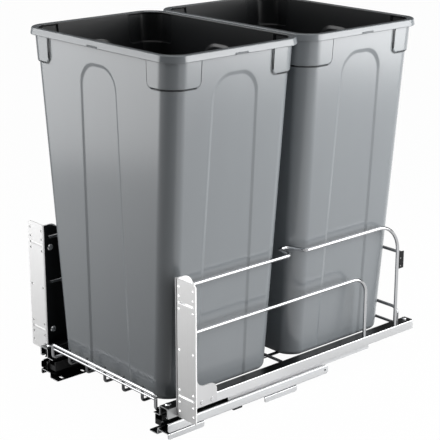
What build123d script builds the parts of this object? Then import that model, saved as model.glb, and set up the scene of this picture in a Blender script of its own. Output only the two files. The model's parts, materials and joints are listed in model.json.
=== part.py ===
"""Double pull-out waste unit for a kitchen base cabinet.

Two tapered bins stand in a chromed wire basket between two side channels. Each channel rides
a telescopic ball slide, and each slide stands on two saddle feet that screw to the cabinet floor.

Frame: +X to the user's right, -Y towards the user (the way the unit pulls out), +Z up.
The origin is at the bottom centre. Lengths are in millimetres.
"""

import os

from build123d import *

os.makedirs("parts", exist_ok=True)

# ---------------------------------------------------------------- driving dimensions
# Side channels: folded strip, open below, with a ledge that carries the basket
channel_length = 559.0
frame_width = 337.0
sheet = 1.5
fold_radius = 1.5
channel_width = 21.0
channel_bottom = 34.5
channel_top = 51.0
ledge_reach = 35.0
ledge_top = 35.5

# Fixed base rail under each channel
base_rail_length = 346.0
base_rail_width = 18.5
base_rail_bottom = 10.0
base_rail_top = 25.5
lip_reach = 4.2
rail_end_radius = 5.0
rail_hole_radius = 2.0
rail_hole_from_end = 7.0

# Telescopic slide: one ball stage in the base rail and one in the side channel
pull_travel = 508.0
ball_radius = 1.5
ball_clearance = 0.3
groove_depth = 0.35
runner_front = 30.0
runner_bottom = 13.0
runner_top = 22.5
middle_rail_front = 129.0
middle_rail_length = 325.0
middle_rail_bottom = 37.5
middle_rail_top = 46.0
neck_thickness = 1.5
cage_thickness = 0.7
cage_floor_gap = 0.4
cage_end_margin = 1.5
lower_ball_count = 4
upper_ball_count = 6
cage_half_height = 3.0
ball_fit = 0.1
ball_sides = 8

# Saddle feet under the base rails
foot_length = 72.0
rear_foot_from_back = 72.5
foot_leg_inward = 26.5
foot_reach = 47.0
foot_corner_radius = 3.0
foot_slot_length = 11.0
foot_slot_width = 5.0
foot_slot_spacing = 44.0
foot_slot_inward = 37.5
foot_rivet_radius = 2.5
foot_rivet_head = 4.0
foot_rivet_spacing = 48.0
pad_front = 135.0
pad_length = 18.0
pad_depth = 3.0

# Soft-close unit beside the front of each base rail
damper_front = 4.0
damper_length = 108.0
damper_reach = 36.5
damper_bottom = 14.0
damper_top = 30.0
damper_wall = 1.8
damper_front_wall_top = 23.0
cylinder_radius = 4.5
cylinder_length = 46.0
cylinder_height = 21.3
cylinder_chamfer = 0.8
rod_radius = 1.5
rod_clearance = 0.4
rod_length = 50.0
slider_length = 16.0
slider_travel = 30.0
slider_half_width = 4.5
slider_top = 28.0
prong_top = 32.0
prong_length = 6.0
running_gap = 0.3
catch_thickness = 1.5
catch_width = 5.0
catch_bottom = 29.0

# Door brackets and the arms that hold them
bracket_sheet = 2.0
arm_front = 16.0
arm_depth = 40.0
arm_bottom = 36.0
arm_height = 222.0
arm_top_radius = 34.0
arm_foot_reach = 80.5
arm_foot_height = 34.0
arm_inner_radius = 15.0
arm_foot_radius = 13.0
door_plate_width = 44.0
door_plate_flange = 30.0
flange_top_radius = 15.0
door_plate_bend = 2.5
door_plate_chamfer = 4.0
door_hole_radius = 2.2
door_hole_pitch = 32.0
door_hole_margin = 6.0
door_hole_ends = (11.0, 26.0, 46.0)
door_slot_end = 36.0
door_slot_length = 36.0
door_slot_width = 4.0
bracket_screw_inset = 11.0
bracket_screw_rise = 38.0
bracket_screw_drop = 39.0
bracket_screw_radius = 3.0
bracket_screw_head = 5.5
bracket_screw_head_height = 2.6
bracket_nut_height = 3.0
bracket_nut_size = 5.5
arm_rivet_insets = (50.0, 71.0)
arm_rivet_height = 43.0
arm_rivet_radius = 2.0
arm_rivet_head = 3.5
arm_rivet_head_height = 0.8

# Wires of the basket and the guards
guard_wire = 6.0
rim_wire = 5.5
floor_wire = 5.0
thin_wire = 4.0
guard_inset = 6.0
upper_guard_drop = 20.0
upper_guard_from_back = 45.0
upper_guard_bend = 50.0
lower_guard_height = 159.5
lower_guard_from_back = 123.0
lower_guard_bend = 30.0
jog_depth = 33.0
jog_half_length = 9.5
jog_behind_gap = 4.5
jog_front_lead = 5.0
jog_back_lead = 12.0
jog_bend = 8.0
rim_inward = 33.0
rim_height = 62.0
rim_from_back = 18.0
rim_bend = 6.0
thin_wire_height = 54.5
floor_wire_pitch = 48.0
floor_wire_names = ("far_left", "left", "centre", "right", "far_right")
floor_wire_overrun = 2.0
floor_wire_bend = 5.0
rear_wire_from_back = 31.0
rear_wire_height = 78.5
rear_wire_inward = 10.5
rear_wire_bend = 12.0
rear_upper_wire_drop = 57.5
clip_height = 30.0
clip_depth = 13.0
clip_rise = 4.0
clip_hole_radius = 1.5
clip_hole_pitch = 14.0

# Screws that hold the slide's inner profile in the side channel
channel_screw_inward = 12.5
channel_screw_from_end = 10.0
channel_screw_radius = 2.0
channel_screw_head = 5.0
channel_screw_head_height = 2.5

# Bins
bin_height = 546.7
bin_wall = 2.5
bin_taper_x = 40.0
bin_taper_y = 12.0
bin_base_corner = 30.0
bin_top_corner = 34.0
bin_base_fillet = 9.0
bin_seat_gap = 0.3
rim_overhang_x = 8.0
rim_overhang_y = 7.0
rim_past_channel = 15.5
rim_skirt = 11.0
rim_land = 2.5
rim_skirt_wall = 2.0
bin_front = 1.0
bin_gap = 4.0
bin_rear_room = 26.0
pad_raise = 2.6
pad_span = 56.0
pad_drop = 42.0
pad_corner = 14.0
panel_base_width = 105.0
panel_top_width = 85.0
panel_below_rim = 37.0
panel_arch_radius = 36.0
panel_recess = 2.0
notch_width = 24.0
notch_height = 3.0

# How far a cutter runs past the surface that it cuts
overrun = 1.0

# ---------------------------------------------------------------- worked out from these
half_frame = frame_width / 2
front_y = -channel_length / 2
slide_centre = base_rail_width / 2
groove_radius = ball_radius + ball_clearance
rail_mid_height = (runner_bottom + runner_top) / 2
drawer_low = channel_bottom + sheet
drawer_high = channel_top - 2 * sheet
drawer_face = 2 * sheet
middle_mid_height = (drawer_low + drawer_high) / 2
middle_travel = pull_travel / 2
cage_travel = middle_travel / 2
lower_cage_front = cage_travel + cage_end_margin
lower_cage_length = base_rail_length - middle_travel - 2 * cage_end_margin
upper_cage_front = middle_rail_front + cage_travel + cage_end_margin
upper_cage_length = channel_length - middle_rail_front - middle_travel - 2 * cage_end_margin
rear_foot_front = base_rail_length - foot_length - rear_foot_from_back
floor_wire_height = ledge_top + rim_wire - floor_wire / 2
rim_side_height = ledge_top + rim_wire / 2
bin_base = floor_wire_height + floor_wire / 2 + bin_seat_gap
bin_top = bin_base + bin_height
rim_front = rim_wire / 2
rim_half_width = half_frame - rim_inward
rim_end = channel_length - rim_from_back
rear_wire_behind = channel_length - rear_wire_from_back
rear_wire_half_width = half_frame - rear_wire_inward
front_leg_behind = rim_wire + floor_wire / 2
rear_leg_behind = rear_wire_behind + (rim_wire + floor_wire) / 2
rim_outer_x = frame_width + 2 * rim_past_channel
rim_outer_y = (channel_length - bin_front - bin_gap - bin_rear_room) / 2
bin_top_x = rim_outer_x - 2 * rim_overhang_x
bin_top_y = rim_outer_y - 2 * rim_overhang_y
bin_base_x = bin_top_x - 2 * bin_taper_x
bin_base_y = bin_top_y - 2 * bin_taper_y
bin_pitch = rim_outer_y + bin_gap
bin_gap_centre = bin_front + rim_outer_y + bin_gap / 2
arm_outer = half_frame + bracket_sheet
arm_top = arm_bottom + arm_height
arm_middle_height = (arm_bottom + arm_top) / 2
bracket_screw_behind = arm_front + bracket_screw_inset
bracket_screw_heights = (arm_bottom + bracket_screw_rise, arm_top - bracket_screw_drop)
arm_rivet_behinds = [arm_front + inset for inset in arm_rivet_insets]
guard_inward = guard_wire / 2
guard_start = arm_front + guard_inset
upper_guard_height = arm_top - upper_guard_drop
upper_guard_end = channel_length - upper_guard_from_back
lower_guard_end = channel_length - lower_guard_from_back
rear_upper_wire_height = upper_guard_height - rear_upper_wire_drop
channel_screw_behinds = (channel_screw_from_end, channel_length - channel_screw_from_end)


def section_plane(behind):
    """Plane across the rails at a distance behind the channels' front ends: x to the right, y up."""
    return Plane.XZ.offset(-(front_y + behind))


def bent_sheet(corners, thickness, behind, length, bend=fold_radius):
    """Folded strip along Y. Corners lie on the middle of the sheet, as (inward, height)."""
    points = [(half_frame - inward, height) for inward, height in corners]
    line = FilletPolyline(*points, radius=bend)
    return extrude(section_plane(behind) * trace(line, thickness), amount=-length)


def blunt(bar, axis, amount):
    """Chamfer a round bar's far end."""
    return chamfer(bar.edges().filter_by(GeomType.CIRCLE).group_by(axis)[-1], amount)


def bar_along_y(radius, inward, height, behind, length):
    """Round bar along Y."""
    centre = Pos(half_frame - inward, height)
    return extrude(section_plane(behind) * centre * Circle(radius), amount=-length)


def bar_along_x(radius, start_x, end_x, behind, height):
    """Round bar along X."""
    face = Plane.YZ.offset(start_x) * Pos(front_y + behind, height) * Circle(radius)
    return extrude(face, amount=end_x - start_x)


def bar_along_z(radius, x, behind, low, high):
    """Round bar along Z."""
    return extrude(Pos(x, front_y + behind, low) * Circle(radius), amount=high - low)


def block(inward, behind, height):
    """Block from three (low, high) pairs on the right-hand side."""
    size_x = inward[1] - inward[0]
    size_y = behind[1] - behind[0]
    size_z = height[1] - height[0]
    centre_x = half_frame - (inward[0] + inward[1]) / 2
    centre_y = front_y + (behind[0] + behind[1]) / 2
    return Pos(centre_x, centre_y, (height[0] + height[1]) / 2) * Box(size_x, size_y, size_z)


def bent_wire(diameter, points, bend):
    """Round wire through points given as (x, behind, height)."""
    path = FilletPolyline(*[(x, front_y + behind, height) for x, behind, height in points], radius=bend)
    start = Plane(origin=path @ 0, z_dir=path % 0)
    return sweep(start * Circle(diameter / 2), path=path)


def mirrored(shape):
    """The same piece on the left-hand side."""
    return mirror(shape, about=Plane.YZ)


def both(shape):
    """A right-hand piece together with its left-hand twin, as separate solids."""
    return Compound(children=[*shape.solids(), *mirrored(shape).solids()])


def save(node, shape):
    """Write one node."""
    solids = shape.solids()
    result = solids[0] if len(solids) == 1 else Compound(children=solids)
    export_step(result, f"parts/{node}.step")


def save_pair(name, shape):
    """Write a right-hand piece and its left-hand twin."""
    save(f"right_{name}", shape)
    save(f"left_{name}", mirrored(shape))


# ---------------------------------------------------------------- telescopic slide
def ball_inwards(face):
    """Distances inward of the two ball rows in a profile whose inner wall starts at face."""
    offset = face - groove_depth + groove_radius
    return offset, 2 * slide_centre - offset


def bulb_face(face):
    """Outer face of the running profile that faces an inner wall at face."""
    return face + 2 * (groove_radius - groove_depth)


def grooves(face, height, behind, length):
    """Ball grooves cut in both walls of a stage."""
    cutters = [bar_along_y(groove_radius, inward, height, behind, length) for inward in ball_inwards(face)]
    return cutters[0] + cutters[1]


def side_outline(behind, length, low, high, radius):
    """Block across one side of the unit with rounded ends, seen from the side."""
    centre = Pos(front_y + behind + length / 2, (low + high) / 2)
    face = Plane.YZ.offset(half_frame - ledge_reach) * centre * RectangleRounded(length, high - low, radius)
    return extrude(face, amount=ledge_reach + bracket_sheet)


def base_rail():
    """Fixed rail: a channel open above, with lips turned in over the running profile."""
    middle = sheet / 2
    far = base_rail_width - middle
    low = base_rail_bottom + middle
    high = base_rail_top - middle
    corners = [(lip_reach, high), (middle, high), (middle, low), (far, low), (far, high)]
    corners.append((base_rail_width - lip_reach, high))
    rail = bent_sheet(corners, sheet, 0, base_rail_length)
    rail -= grooves(sheet, rail_mid_height, 0, base_rail_length)
    rail &= side_outline(0, base_rail_length, base_rail_bottom, base_rail_top, rail_end_radius)
    hole_behind = base_rail_length - rail_hole_from_end
    hole_start = half_frame - 2 * sheet
    rail -= bar_along_x(rail_hole_radius, hole_start, half_frame + sheet, hole_behind, rail_mid_height)
    for behind in foot_rivet_behinds():
        x = half_frame - slide_centre
        rail -= bar_along_z(foot_rivet_radius, x, behind, 0, base_rail_bottom + 2 * sheet)
    return rail


def lower_runner():
    """Running profile of the lower stage: a channel open below, inside the base rail."""
    near = bulb_face(sheet) + sheet / 2
    far = 2 * slide_centre - near
    high = runner_top - sheet / 2
    corners = [(near, runner_bottom), (near, high), (far, high), (far, runner_bottom)]
    length = base_rail_length - runner_front
    runner = bent_sheet(corners, sheet, runner_front, length)
    return runner - grooves(sheet, rail_mid_height, runner_front, length)


def middle_rail():
    """Middle member: neck and upper running profile, standing on the lower runner."""
    near = bulb_face(drawer_face) + sheet / 2
    far = 2 * slide_centre - near
    low = middle_rail_bottom + sheet / 2
    corners = [(near, middle_rail_top), (near, low), (far, low), (far, middle_rail_top)]
    rail = bent_sheet(corners, sheet, middle_rail_front, middle_rail_length)
    rail -= grooves(drawer_face, middle_mid_height, middle_rail_front, middle_rail_length)
    inward = (slide_centre - neck_thickness / 2, slide_centre + neck_thickness / 2)
    behind = (middle_rail_front, middle_rail_front + middle_rail_length)
    return rail + block(inward, behind, (runner_top, middle_rail_bottom))


def drawer_member():
    """Profile fixed inside the side channel: a channel open below, with lips turned in."""
    near = drawer_face - sheet / 2
    far = 2 * slide_centre - near
    low = drawer_low - sheet / 2
    high = drawer_high + sheet / 2
    lip = drawer_face + lip_reach - sheet
    corners = [(lip, low), (near, low), (near, high), (far, high), (far, low), (2 * slide_centre - lip, low)]
    member = bent_sheet(corners, sheet, 0, channel_length)
    member -= grooves(drawer_face, middle_mid_height, 0, channel_length)
    return member - channel_screw_holes()


def ball_cage(face, mid_height, behind, length, web_height):
    """Strip bent round the running profile, from its web to just past the balls."""
    rows = ball_inwards(face)
    edge = mid_height + (cage_half_height if mid_height > web_height else -cage_half_height)
    corners = [(rows[0], edge), (rows[0], web_height), (rows[1], web_height), (rows[1], edge)]
    return bent_sheet(corners, cage_thickness, behind, length, bend=cage_thickness)


def ball_behinds(behind, length, count):
    """Places of the balls along a cage."""
    pitch = length / count
    return [behind + pitch * (index + 0.5) for index in range(count)]


def ball():
    """Ball turned from a many-sided outline, which keeps forty of them light."""
    outline = RegularPolygon(ball_radius, ball_sides, rotation=180 / ball_sides)
    half = Pos(ball_radius, 0) * Rectangle(2 * ball_radius, 2 * ball_radius)
    return revolve(Plane.XZ * (outline & half), Axis.Z)


def ball_row_parts(face, mid_height, behind, length, count, web_height):
    """A cage with its ball windows, and its two rows of balls."""
    cage = ball_cage(face, mid_height, behind, length, web_height)
    window = Box(2 * ball_radius, 2 * (ball_radius + ball_fit), 2 * (ball_radius + ball_fit))
    balls = []
    for place in ball_behinds(behind, length, count):
        for inward in ball_inwards(face):
            centre = Pos(half_frame - inward, front_y + place, mid_height)
            cage -= centre * window
            balls.append(centre * ball())
    return cage, Compound(children=balls)


# ---------------------------------------------------------------- feet under the rails
def foot_fronts():
    """Front ends of the two feet under a rail."""
    return (0.0, rear_foot_front)


def foot_rivet_behinds():
    """Places of the rivets that join a rail to its feet."""
    middles = [front + foot_length / 2 for front in foot_fronts()]
    return [middle + side * foot_rivet_spacing / 2 for middle in middles for side in (-1, 1)]


def saddle_foot(front):
    """Foot folded as a bridge under the rail, with an outer tab and a slotted inner flange."""
    middle = sheet / 2
    bridge = base_rail_bottom - middle
    corners = [(middle, 0), (middle, bridge), (foot_leg_inward, bridge), (foot_leg_inward, middle)]
    corners.append((foot_reach, middle))
    foot = bent_sheet(corners, sheet, front, foot_length)
    plan_centre = Pos(half_frame - foot_reach / 2 + foot_corner_radius, front_y + front + foot_length / 2)
    plan = RectangleRounded(foot_reach + 2 * foot_corner_radius, foot_length, foot_corner_radius)
    foot &= extrude(plan_centre * plan, amount=base_rail_bottom)
    tab_height = base_rail_bottom + foot_corner_radius
    tab = side_outline(front, foot_length, 0, 2 * tab_height, foot_corner_radius)
    outer_part = block((-sheet, 2 * sheet), (front, front + foot_length), (0, base_rail_bottom))
    foot = (foot - outer_part) + (foot & outer_part & tab)
    slot = SlotOverall(foot_slot_length, foot_slot_width)
    for side in (-1, 1):
        place = front_y + front + foot_length / 2 + side * foot_slot_spacing / 2
        foot -= extrude(Pos(half_frame - foot_slot_inward, place, 0) * slot, amount=2 * sheet)
    for behind in foot_rivet_behinds():
        foot -= bar_along_z(foot_rivet_radius, half_frame - slide_centre, behind, 0, base_rail_bottom)
    return foot


def foot_rivets():
    """Rivets set flush in the rail floor so that the cage passes over them."""
    low = base_rail_bottom - sheet
    high = base_rail_bottom + sheet
    x = half_frame - slide_centre
    shanks = [bar_along_z(foot_rivet_radius, x, behind, low, high) for behind in foot_rivet_behinds()]
    heads = [bar_along_z(foot_rivet_head, x, behind, low - sheet, low) for behind in foot_rivet_behinds()]
    return Compound(children=[shank + head for shank, head in zip(shanks, heads)])


def rail_pad():
    """Plastic pad clipped under the middle of a rail."""
    inward = (sheet, base_rail_width - sheet)
    behind = (pad_front, pad_front + pad_length)
    return block(inward, behind, (base_rail_bottom - pad_depth, base_rail_bottom))


# ---------------------------------------------------------------- soft-close units
damper_centre = (base_rail_width + damper_reach) / 2
slider_front = damper_front + damper_wall + running_gap + slider_travel
slider_bottom = damper_bottom + damper_wall + running_gap
cylinder_front = slider_front + slider_length + prong_length


def damper_housing():
    """Open tray screwed beside the rail; the damper and its slider lie in it."""
    behind = (damper_front, damper_front + damper_length)
    tray = block((base_rail_width, damper_reach), behind, (damper_bottom, damper_top))
    hollow_inward = (base_rail_width + damper_wall, damper_reach - damper_wall)
    hollow_behind = (damper_front + damper_wall, damper_front + damper_length - damper_wall)
    tray -= block(hollow_inward, hollow_behind, (damper_bottom + damper_wall, damper_top))
    front_notch = (damper_front, damper_front + damper_wall)
    tray -= block(hollow_inward, front_notch, (damper_front_wall_top, damper_top))
    seat_front = cylinder_front + cylinder_length / 4
    seat_behind = (seat_front, seat_front + cylinder_length / 2)
    seat = block(hollow_inward, seat_behind, (damper_bottom, cylinder_height))
    seat -= bar_along_y(cylinder_radius, damper_centre, cylinder_height, cylinder_front, cylinder_length)
    return tray + seat


def damper_cylinder():
    """Damper tube, closed at the back."""
    tube = bar_along_y(cylinder_radius, damper_centre, cylinder_height, cylinder_front, cylinder_length)
    bore = cylinder_length - damper_wall
    tube -= bar_along_y(rod_radius + rod_clearance, damper_centre, cylinder_height, cylinder_front, bore)
    rims = tube.edges().filter_by(GeomType.CIRCLE).group_by(SortBy.RADIUS)[-1]
    return chamfer(rims, cylinder_chamfer)


def damper_rod():
    """Rod that the slider draws out of the damper."""
    return bar_along_y(rod_radius, damper_centre, cylinder_height, slider_front + slider_length, rod_length)


def soft_close_slider():
    """Sprung slider: a block with one prong that takes the carriage's catch."""
    inward = (damper_centre - slider_half_width, damper_centre + slider_half_width)
    behind = (slider_front, slider_front + slider_length)
    body = block(inward, behind, (slider_bottom, slider_top))
    prong_behind = (behind[1] - prong_length, behind[1])
    return body + block(inward, prong_behind, (slider_top, prong_top))


def soft_close_catch():
    """Tab under the channel's ledge that pushes the slider home."""
    back = slider_front + slider_length - prong_length - running_gap
    inward = (damper_centre - catch_width / 2, damper_centre + catch_width / 2)
    tab = block(inward, (back - catch_thickness, back), (catch_bottom, ledge_top - sheet))
    foot = block(inward, (back, back + 2 * catch_width), (ledge_top - 2 * sheet, ledge_top - sheet))
    return tab + foot


# ---------------------------------------------------------------- carriage
def channel_screw_holes():
    """Holes through the top of the channel and the profile inside it."""
    x = half_frame - channel_screw_inward
    low = channel_top - 3 * sheet
    front, back = channel_screw_behinds
    front_hole = bar_along_z(channel_screw_radius, x, front, low, channel_top)
    return front_hole + bar_along_z(channel_screw_radius, x, back, low, channel_top)


def channel_screws():
    """Pan-head screws through the channel's top."""
    x = half_frame - channel_screw_inward
    screws = []
    for behind in channel_screw_behinds:
        shank = bar_along_z(channel_screw_radius, x, behind, channel_top - 2 * sheet, channel_top)
        head_end = channel_top + channel_screw_head_height
        head = bar_along_z(channel_screw_head, x, behind, channel_top, head_end)
        screws.append(shank + blunt(head, Axis.Z, channel_screw_head_height / 2))
    return Compound(children=screws)


def side_channel():
    """Carriage side: a channel over the slide, with a ledge inside for the basket."""
    middle = sheet / 2
    far = channel_width - middle
    high = channel_top - middle
    low = ledge_top - middle
    corners = [(middle, channel_bottom), (middle, high), (far, high), (far, low), (ledge_reach, low)]
    channel = bent_sheet(corners, sheet, 0, channel_length)
    for behind in arm_rivet_behinds:
        channel -= bar_along_x(arm_rivet_radius, half_frame - sheet, half_frame, behind, arm_rivet_height)
    return channel - channel_screw_holes()


def frame_arm():
    """Upright plate on the channel's side that carries the guards and the door bracket."""
    back = arm_front + arm_depth
    foot_top = arm_bottom + arm_foot_height
    foot_back = arm_front + arm_foot_reach
    outline = [(arm_front, arm_bottom), (arm_front, arm_top), (back, arm_top), (back, foot_top)]
    outline += [(foot_back, foot_top), (foot_back, arm_bottom)]
    points = [(front_y + behind, height) for behind, height in outline]
    face = make_face(Polyline(*points, close=True))
    radii = ((2, arm_top_radius), (3, arm_inner_radius), (4, arm_foot_radius))
    for index, radius in radii:
        corner = Vector(points[index][0], points[index][1])
        nearest = face.vertices().sort_by(lambda vertex: (Vector(*vertex) - corner).length)[0]
        face = fillet(nearest, radius)
    arm = extrude(Plane.YZ.offset(half_frame) * face, amount=bracket_sheet)
    return arm - bracket_screw_holes()


def bracket_screw_holes():
    """Holes for the screws and rivets on the arm's side."""
    outer = arm_outer + bracket_sheet
    tools = [bar_along_x(bracket_screw_radius, half_frame, outer, bracket_screw_behind, height)
             for height in bracket_screw_heights]
    tools += [bar_along_x(arm_rivet_radius, half_frame - sheet, arm_outer, behind, arm_rivet_height)
              for behind in arm_rivet_behinds]
    return tools[0] + tools[1] + tools[2] + tools[3]


def door_bracket():
    """Folded plate screwed to the arm; the cabinet door screws to its front."""
    fold_x = arm_outer + bracket_sheet / 2
    fold_y = front_y + arm_front + bracket_sheet / 2
    outer_x = arm_outer + door_plate_width
    flange_end = front_y + arm_front + door_plate_flange
    line = FilletPolyline((fold_x, flange_end), (fold_x, fold_y), (outer_x, fold_y), radius=door_plate_bend)
    plate = extrude(Pos(0, 0, arm_bottom) * trace(line, bracket_sheet), amount=arm_height)
    top_corner = plate.edges().filter_by(Axis.Y).group_by(Axis.X)[-1].group_by(Axis.Z)[-1]
    plate = chamfer(top_corner, door_plate_chamfer)
    flange_corner = plate.edges().filter_by(Axis.X).group_by(Axis.Y)[-1].group_by(Axis.Z)[-1]
    plate = fillet(flange_corner, flange_top_radius)
    plate -= bracket_screw_holes()
    return plate - door_hole_tools(outer_x)


def door_hole_tools(outer_x):
    """Two columns of screw holes and two cross slots in the door plate."""
    front = Plane.XZ.offset(-(front_y + arm_front - overrun))
    outer_column = outer_x - door_hole_margin
    columns = (outer_column - door_hole_pitch, outer_column)
    rows = [arm_middle_height]
    rows += [arm_bottom + end for end in door_hole_ends]
    rows += [arm_top - end for end in door_hole_ends]
    centres = [(x, row) for x in columns for row in rows]
    slot_x = outer_column - door_hole_pitch / 2
    slots = [(slot_x, arm_bottom + door_slot_end), (slot_x, arm_top - door_slot_end)]
    sketch = Sketch() + [Pos(*centre) * Circle(door_hole_radius) for centre in centres]
    sketch += [Pos(*centre) * SlotOverall(door_slot_length, door_slot_width) for centre in slots]
    return extrude(front * sketch, amount=-(bracket_sheet + 2 * overrun))


def bracket_screws():
    """Round-headed bolts that join arm and door bracket, with their nuts outside."""
    screws = []
    outer = arm_outer + bracket_sheet
    for height in bracket_screw_heights:
        shank = bar_along_x(bracket_screw_radius, half_frame, outer, bracket_screw_behind, height)
        head_start = half_frame - bracket_screw_head_height
        head = bar_along_x(bracket_screw_head, head_start, half_frame, bracket_screw_behind, height)
        inner_rim = head.edges().filter_by(GeomType.CIRCLE).group_by(Axis.X)[0]
        head = chamfer(inner_rim, bracket_screw_head_height / 2)
        nut_face = Plane.YZ.offset(outer) * Pos(front_y + bracket_screw_behind, height)
        nut = extrude(nut_face * RegularPolygon(bracket_nut_size, 6), amount=bracket_nut_height)
        screws.append(shank + head + nut)
    return Compound(children=screws)


def arm_rivets():
    """Rivets that join the arm's foot to the side channel."""
    rivets = []
    for behind in arm_rivet_behinds:
        shank = bar_along_x(arm_rivet_radius, half_frame - sheet, arm_outer, behind, arm_rivet_height)
        head_end = arm_outer + arm_rivet_head_height
        head = bar_along_x(arm_rivet_head, arm_outer, head_end, behind, arm_rivet_height)
        rivets.append(shank + blunt(head, Axis.X, arm_rivet_head_height / 2))
    return Compound(children=rivets)


# ---------------------------------------------------------------- wires
def upper_guard():
    """Upper guard wire, with a jog that reaches in between the bins, down to the channel."""
    x = half_frame - guard_inward
    inner = x - jog_depth
    front = bin_gap_centre + jog_behind_gap - jog_half_length
    back = bin_gap_centre + jog_behind_gap + jog_half_length
    height = upper_guard_height
    points = [(x, guard_start, height), (x, front - jog_front_lead, height), (inner, front, height)]
    points += [(inner, back, height), (x, back + jog_back_lead, height)]
    points += [(x, upper_guard_end, height), (x, upper_guard_end, channel_top)]
    bends = [jog_bend, jog_bend, jog_bend, jog_bend, upper_guard_bend]
    return bent_wire(guard_wire, points, bends)


def lower_guard():
    """Lower guard wire, bent down to the channel."""
    x = half_frame - guard_inward
    points = [(x, guard_start, lower_guard_height), (x, lower_guard_end, lower_guard_height)]
    points.append((x, lower_guard_end, channel_top))
    return bent_wire(guard_wire, points, lower_guard_bend)


def basket_rim():
    """Wire across the front of the basket that runs back along both ledges."""
    points = []
    for side in (-1, 1):
        leg = [(side * rim_half_width, rim_end, rim_side_height)]
        leg.append((side * rim_half_width, rim_front, rim_side_height))
        leg.append((side * rim_half_width, rim_front, rim_height))
        points += leg if side < 0 else reversed(leg)
    return bent_wire(rim_wire, points, rim_bend)


def floor_wire_at(x):
    """One wire of the basket floor, turned up at the front and the back."""
    front_top = rim_height + floor_wire_overrun
    rear_top = rear_wire_height + floor_wire_overrun
    points = [(x, front_leg_behind, front_top), (x, front_leg_behind, floor_wire_height)]
    points += [(x, rear_leg_behind, floor_wire_height), (x, rear_leg_behind, rear_top)]
    return bent_wire(floor_wire, points, floor_wire_bend)


def rear_lower_wire():
    """Wire behind the bins that stands on both channels."""
    half = rear_wire_half_width
    points = [(-half, rear_wire_behind, channel_top), (-half, rear_wire_behind, rear_wire_height)]
    points += [(half, rear_wire_behind, rear_wire_height), (half, rear_wire_behind, channel_top)]
    return bent_wire(rim_wire, points, rear_wire_bend)


def rear_clip():
    """Plate behind the guard's rear leg that holds the upper rear wire."""
    top = rear_upper_wire_height + clip_rise
    inward = (guard_inward - sheet / 2, guard_inward + sheet / 2)
    behind = (upper_guard_end, upper_guard_end + guard_wire / 2 + clip_depth)
    plate = block(inward, behind, (top - clip_height, top))
    hole_behind = behind[1] - clip_depth / 2
    for side in (-1, 1):
        height = top - clip_height / 2 + side * clip_hole_pitch / 2 - clip_rise
        plate -= bar_along_x(clip_hole_radius, 0, half_frame, hole_behind, height)
    return plate - upper_guard()


# ---------------------------------------------------------------- bins
def bin_section(height, grow=0.0):
    """Outline of the bin's outside at a height above its base, grown outwards."""
    share = height / bin_height
    size_x = bin_base_x + (bin_top_x - bin_base_x) * share + 2 * grow
    size_y = bin_base_y + (bin_top_y - bin_base_y) * share + 2 * grow
    corner = bin_base_corner + (bin_top_corner - bin_base_corner) * share + grow
    return Pos(0, 0, height) * RectangleRounded(size_x, size_y, corner)


def tapered(low, high, grow=0.0):
    """Tapered solid between two heights."""
    return loft([bin_section(low, grow), bin_section(high, grow)], ruled=True)


def panel_prisms():
    """Arch-topped outlines carried through the bin, front to back and side to side."""
    top = bin_height - panel_below_rim
    outline = Polyline((-panel_base_width / 2, -overrun), (-panel_top_width / 2, top),
                       (panel_top_width / 2, top), (panel_base_width / 2, -overrun), close=True)
    face = make_face(outline)
    face = fillet(face.vertices().group_by(Axis.Y)[-1], panel_arch_radius)
    along_y = extrude(Plane.XZ * face, amount=bin_top_y, both=True)
    along_x = extrude(Plane.YZ * face, amount=bin_top_x, both=True)
    return along_y + along_x


def corner_block(inset=0.0):
    """Space of the four corner pads below the rim, with rounded lower corners."""
    high = bin_height - rim_land
    low = bin_height - rim_skirt - pad_drop + inset
    middle = (low + high + pad_corner) / 2
    size_z = high + pad_corner - low
    gap_x = bin_top_x - 2 * (pad_span - inset)
    gap_y = bin_top_y - 2 * (pad_span - inset)
    slab = Pos(0, 0, (low + high) / 2) * Box(2 * bin_top_x, 2 * bin_top_y, high - low)
    blocks = []
    for side_x in (-1, 1):
        centre_x = side_x * (gap_x + bin_top_x) / 2
        outline = Pos(centre_x, middle) * RectangleRounded(bin_top_x, size_z, pad_corner)
        view_x = extrude(Plane.XZ * outline, amount=bin_top_y, both=True)
        for side_y in (-1, 1):
            centre_y = side_y * (gap_y + bin_top_y) / 2
            outline = Pos(centre_y, middle) * RectangleRounded(bin_top_y, size_z, pad_corner)
            view_y = extrude(Plane.YZ * outline, amount=bin_top_x, both=True)
            blocks.append(view_x & view_y & slab)
    return blocks[0] + blocks[1] + blocks[2] + blocks[3]


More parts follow.
